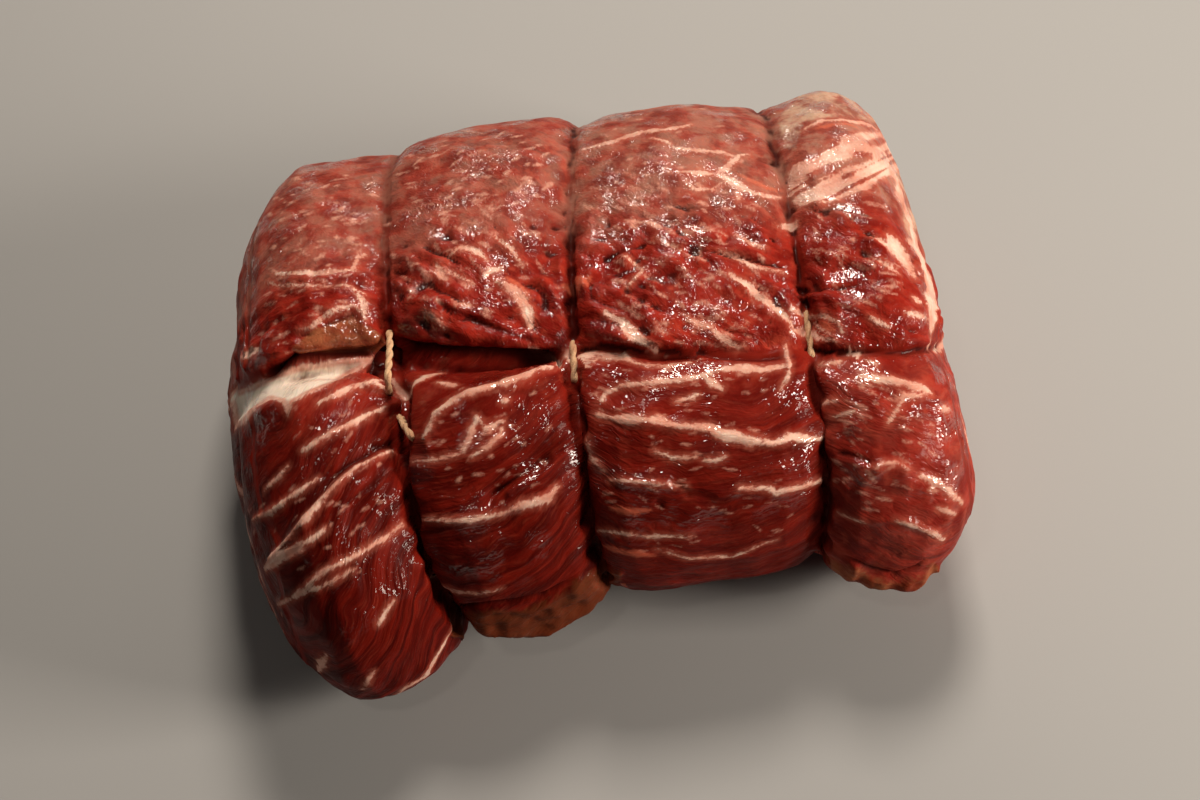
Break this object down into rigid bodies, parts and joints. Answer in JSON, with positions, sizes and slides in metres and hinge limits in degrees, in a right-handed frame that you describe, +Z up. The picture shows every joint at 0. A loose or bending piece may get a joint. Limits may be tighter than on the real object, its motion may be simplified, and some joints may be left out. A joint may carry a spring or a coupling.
{
  "type": "beef blade roast",
  "caption": "Raw boneless beef roast, folded along a seam and tied round with butcher's twine; lies on a flat base.",
  "frame": {"origin": "middle of the footprint, on the surface the roast lies on", "axes": "+X along the roast from one cut end to the other, -Y the side where the open seam faces, +Z up"},
  "size_m": [0.2322, 0.1906, 0.0903],
  "materials": {
    "meat": "moist raw beef, dark red with cream fat streaks and a wet sheen",
    "twine": "two-ply cotton twine, stained tan"
  },
  "bodies": {
    "root": {"meat": "meat", "twine_left": "twine", "twine_middle": "twine", "twine_right": "twine"}
  },
  "joints": []
}
